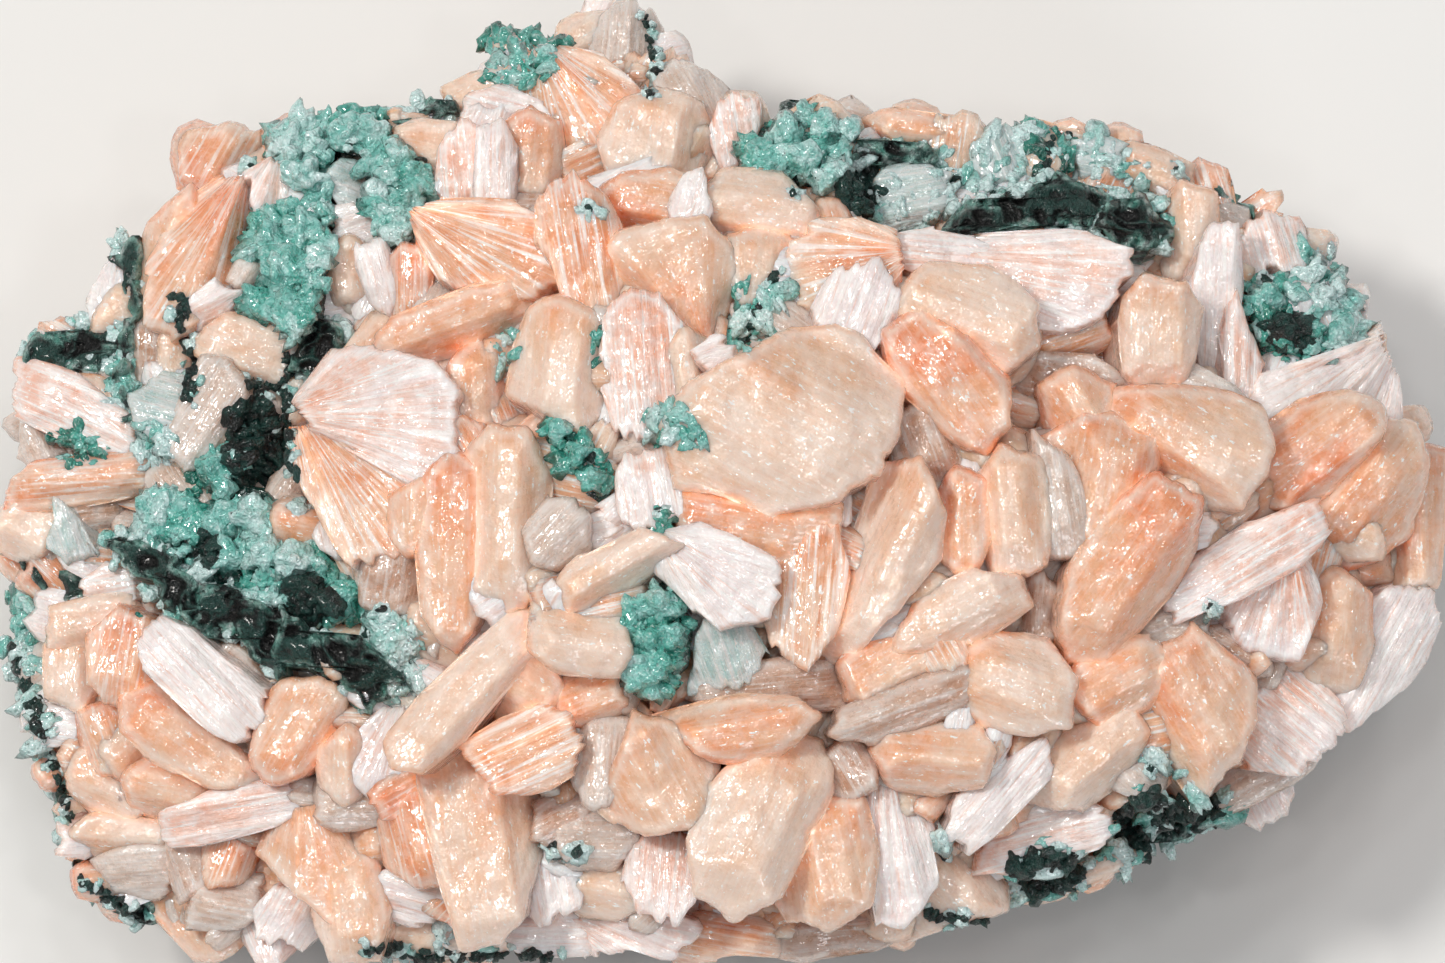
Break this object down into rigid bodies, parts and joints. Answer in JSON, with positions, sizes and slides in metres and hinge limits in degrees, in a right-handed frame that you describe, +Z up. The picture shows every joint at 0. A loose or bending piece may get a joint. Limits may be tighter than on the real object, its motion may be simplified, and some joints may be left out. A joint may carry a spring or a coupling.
{
  "type": "stilbite cluster",
  "caption": "Plate of salmon and cream stilbite sheaves, blades and fans with green crusts on a dark celadonite-skinned basalt slab, lying flat for display.",
  "frame": {"origin": "middle of the bounding box in plan, on the sawn underside of the rock", "axes": "+X along the specimen's length, +Y away from the viewer of the chart, +Z up through the crystals"},
  "size_m": [0.1442, 0.0998, 0.0458],
  "materials": {
    "celadonite_basalt": "rough dark basalt skinned with granular blue-green celadonite",
    "stilbite": "waxy to pearly translucent salmon, peach and cream, striated along each crystal",
    "chalcedony": "knobbly waxy mint-green crust with darker green granules"
  },
  "bodies": {
    "root": {"matrix": "celadonite_basalt", "stilbite_crystals": "stilbite", "green_crust_upper_left": "chalcedony", "green_crust_hollow": "chalcedony", "green_crust_upper_right": "chalcedony", "green_crust_right": "chalcedony", "green_crust_middle": "chalcedony", "green_crust_strip": "chalcedony", "green_crust_edge": "chalcedony"}
  },
  "joints": []
}
